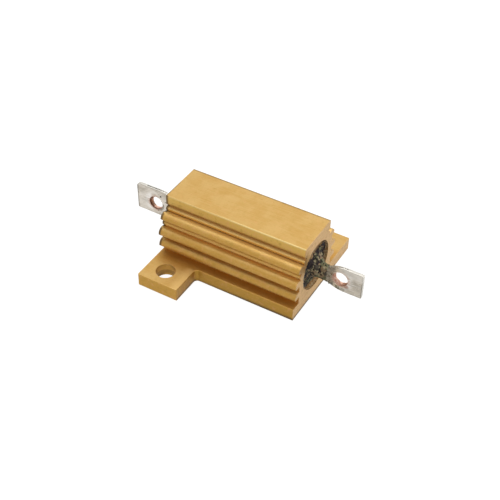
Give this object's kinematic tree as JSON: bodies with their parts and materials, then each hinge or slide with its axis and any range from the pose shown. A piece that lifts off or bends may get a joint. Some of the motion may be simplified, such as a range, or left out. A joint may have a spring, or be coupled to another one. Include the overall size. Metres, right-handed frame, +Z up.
{
  "type": "aluminium housed power resistor",
  "caption": "Chassis-mount wirewound power resistor: finned gold-anodised aluminium housing, diagonal mounting ears and flat solder terminals at both ends.",
  "frame": {"origin": "in the mounting face, at the middle of the housing's length and width", "axes": "+X along the body towards one terminal, +Y across the body towards the ear at the +X end, +Z up from the mounting face"},
  "size_m": [0.0329, 0.0204, 0.0098],
  "materials": {
    "anodised_aluminium": "satin gold anodised",
    "core_ceramic": "matte fired ceramic",
    "resistance_wire": "drawn nickel-chromium wire",
    "cap_steel": "plated pressed steel",
    "compound": "rough moulding compound",
    "tinned_copper": "satin tinned copper"
  },
  "bodies": {
    "root": {"housing": "anodised_aluminium", "ceramic_core": "core_ceramic", "resistance_winding": "resistance_wire", "end_cap_left": "cap_steel", "end_cap_right": "cap_steel", "moulding_compound": "compound", "terminal_left": "tinned_copper", "terminal_right": "tinned_copper"}
  },
  "joints": []
}
